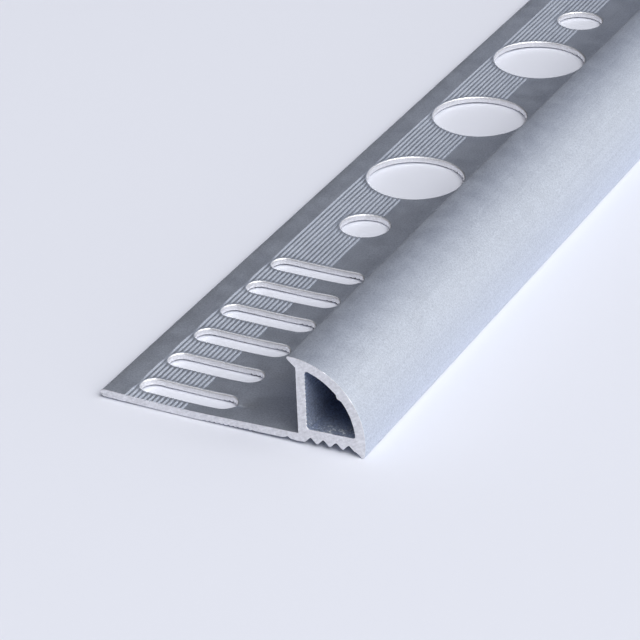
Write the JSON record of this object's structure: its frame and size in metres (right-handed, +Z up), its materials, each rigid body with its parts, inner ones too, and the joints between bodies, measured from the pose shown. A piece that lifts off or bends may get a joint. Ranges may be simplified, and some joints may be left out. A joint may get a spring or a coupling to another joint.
{
  "type": "tile edge trim",
  "caption": "Hollow quarter-round aluminium tile edge trim with a punched and grooved fixing leg, in straight stock.",
  "frame": {"origin": "on the surface that the stock lies on, below the middle of its width and length", "axes": "+Y along the stock away from the end in the picture, +X from the leg towards the quarter round, +Z up"},
  "size_m": [0.032, 1, 0.0103],
  "materials": {
    "anodised_aluminium": "satin anodised"
  },
  "bodies": {
    "root": {"trim_profile": "anodised_aluminium"}
  },
  "joints": []
}
